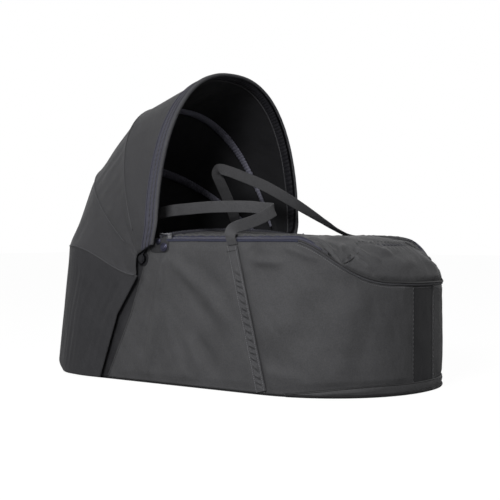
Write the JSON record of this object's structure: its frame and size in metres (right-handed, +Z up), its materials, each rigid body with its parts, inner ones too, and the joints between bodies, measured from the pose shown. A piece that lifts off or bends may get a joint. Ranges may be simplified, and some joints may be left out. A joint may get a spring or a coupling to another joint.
{
  "type": "carrycot",
  "caption": "Soft-sided pram carrycot with a folding hooped hood, zipped cover, mattress and webbing carry handles.",
  "frame": {"origin": "centre of the footprint, on the floor", "axes": "+X towards the foot end, +Y towards the left side, +Z up"},
  "size_m": [0.76, 0.4072, 0.5424],
  "materials": {
    "body_cloth": "woven, matt",
    "head_cloth": "woven, matt",
    "base_fabric": "coated, matt",
    "board": "matt",
    "foam": "foam, matt",
    "lining_cloth": "matt",
    "binding_cloth": "tape, matt",
    "mattress_cloth": "matt",
    "cover_cloth": "woven, matt",
    "elastic": "matt",
    "zip_coil": "satin",
    "slider_metal": "satin",
    "webbing": "ribbed webbing",
    "hood_cloth": "woven, matt",
    "skirt_cloth": "woven, matt",
    "tab_cloth": "matt",
    "hoop_steel": "satin",
    "mount_plastic": "satin",
    "rivet_steel": "satin",
    "stud_metal": "satin"
  },
  "bodies": {
    "cot": {"side_panel_right": "body_cloth", "side_panel_left": "body_cloth", "foot_panel": "body_cloth", "head_panel": "head_cloth", "base_tray": "base_fabric", "foot_sleeve": "base_fabric", "base_board": "board", "foam_head": "foam", "foam_left": "foam", "foam_right": "foam", "foam_foot": "foam", "lining": "lining_cloth", "rim_binding": "binding_cloth", "mattress": "mattress_cloth", "foot_cover": "cover_cloth", "apron": "cover_cloth", "cover_elastic": "elastic", "zip_chain_right": "zip_coil", "zip_chain_left": "zip_coil", "strap_front_right": "webbing", "strap_front_left": "webbing", "strap_rear_right": "webbing", "strap_rear_left": "webbing", "hood_skirt": "skirt_cloth", "hood_tab_right": "tab_cloth", "hood_tab_left": "tab_cloth", "hood_mount_right": "mount_plastic", "hood_mount_left": "mount_plastic", "rivet_cap_right": "rivet_steel", "rivet_cap_left": "rivet_steel", "snap_upper_right": "stud_metal", "snap_upper_left": "stud_metal", "snap_lower_right": "stud_metal", "snap_lower_left": "stud_metal"},
    "rear_hoop_body": {"rear_hoop": "hoop_steel", "hood_rear_panel": "hood_cloth"},
    "middle_hoop_body": {"middle_hoop": "hoop_steel", "hood_middle_panel": "hood_cloth"},
    "front_hoop_body": {"front_hoop": "hoop_steel", "hood_front_panel": "hood_cloth", "hood_hem": "binding_cloth"},
    "handle_right_body": {"handle_right": "webbing"},
    "handle_left_body": {"handle_left": "webbing"},
    "slider_right_body": {"zip_slider_right": "slider_metal"},
    "slider_left_body": {"zip_slider_left": "slider_metal"},
    "pull_right_body": {"zip_pull_right": "slider_metal"},
    "pull_left_body": {"zip_pull_left": "slider_metal"},
    "apron_hem_body": {"apron_hem": "elastic"}
  },
  "joints": [
    {"name": "rear_fold", "type": "hinge", "parent": "cot", "child": "rear_hoop_body", "pos_m": [-0.056, 0, 0.2113], "axis": [0, -1, 0], "range_deg": [0, 28], "deforming": ["hood_rear_panel"]},
    {"name": "middle_fold", "type": "hinge", "parent": "rear_hoop_body", "child": "middle_hoop_body", "pos_m": [-0.056, 0, 0.2113], "axis": [0, -1, 0], "range_deg": [0, 26], "deforming": ["hood_middle_panel"]},
    {"name": "front_fold", "type": "hinge", "parent": "middle_hoop_body", "child": "front_hoop_body", "pos_m": [-0.056, 0, 0.2113], "axis": [0, -1, 0], "range_deg": [0, 20], "deforming": ["hood_front_panel"]},
    {"name": "handle_right_swing", "type": "hinge", "parent": "cot", "child": "handle_right_body", "pos_m": [0.142, -0.1911, 0.236], "axis": [0.9945, 0, 0.1049], "range_deg": [-8, 20]},
    {"name": "handle_left_swing", "type": "hinge", "parent": "cot", "child": "handle_left_body", "pos_m": [0.142, 0.1911, 0.236], "axis": [-0.9945, 0, -0.1049], "range_deg": [-18, 20]},
    {"name": "zip_left", "type": "slide", "parent": "cot", "child": "slider_left_body", "axis": [1, 0, 0], "range_m": [0, 0.185]},
    {"name": "zip_right", "type": "slide", "parent": "cot", "child": "slider_right_body", "axis": [1, 0, 0], "range_m": [0, 0.185]},
    {"name": "apron_open", "type": "slide", "parent": "cot", "child": "apron_hem_body", "axis": [1, 0, 0], "range_m": [0, 0.185], "deforming": ["apron"]},
    {"name": "pull_left_flip", "type": "hinge", "parent": "slider_left_body", "child": "pull_left_body", "pos_m": [0.005, 0.1883, 0.2531], "axis": [0, 1, 0], "range_deg": [0, 150]},
    {"name": "pull_right_flip", "type": "hinge", "parent": "slider_right_body", "child": "pull_right_body", "pos_m": [0.005, -0.1883, 0.2531], "axis": [0, 1, 0], "range_deg": [0, 150]}
  ],
  "couplings": [
    {"joint": "middle_fold", "follows": "rear_fold", "ratio": 0.9285},
    {"joint": "front_fold", "follows": "rear_fold", "ratio": 0.7142},
    {"joint": "zip_right", "follows": "zip_left", "ratio": 1},
    {"joint": "apron_open", "follows": "zip_left", "ratio": 1}
  ]
}
